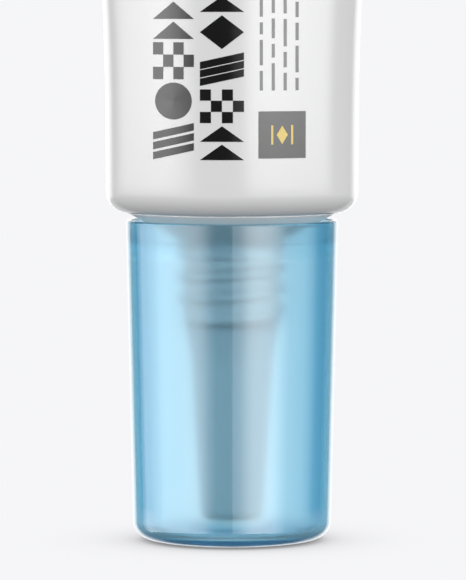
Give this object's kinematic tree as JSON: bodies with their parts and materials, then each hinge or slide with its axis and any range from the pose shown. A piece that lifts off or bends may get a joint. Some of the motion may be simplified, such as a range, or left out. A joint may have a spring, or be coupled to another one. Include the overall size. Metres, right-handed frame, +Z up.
{
  "type": "squeeze tube with nozzle and screw cap",
  "caption": "Upright flat-sealed squeeze tube with a threaded neck and long tapered nozzle, standing on a tall translucent screw cap.",
  "frame": {"origin": "middle of the cap's flat end, on the surface that the tube stands on", "axes": "+Z up along the tube from cap to flat seal; +X along the flat seal; +Y through the thickness, away from the printed front"},
  "size_m": [0.055, 0.035, 0.15],
  "materials": {
    "cap_blue": "clear glossy outside over a finely frosted, light blue inside",
    "insert_blue": "clear light blue plastic",
    "wad_foam": "soft white foamed sealing wad",
    "sleeve_white": "glossy white flexible plastic",
    "head_white": "semi-gloss white plastic",
    "nozzle_grey": "semi-gloss natural plastic, slightly see-through",
    "cream": "soft white cream"
  },
  "bodies": {
    "cap": {"cap_shell": "cap_blue", "cap_insert": "insert_blue"},
    "seal": {"cap_seal": "wad_foam"},
    "tube": {"tube_sleeve": "sleeve_white", "tube_head": "head_white", "nozzle": "nozzle_grey", "cream_fill": "cream"}
  },
  "joints": [
    {"name": "tube_twist", "type": "hinge", "parent": "cap", "child": "seal", "pos_m": [0, 0, 0], "axis": [0, 0, 1], "range_deg": [0, 5400]},
    {"name": "tube_lift", "type": "slide", "parent": "seal", "child": "tube", "axis": [0, 0, 1], "range_m": [0, 0.0452]}
  ],
  "couplings": [
    {"joint": "tube_lift", "follows": "tube_twist", "m_per_rad": 0.00047746}
  ]
}
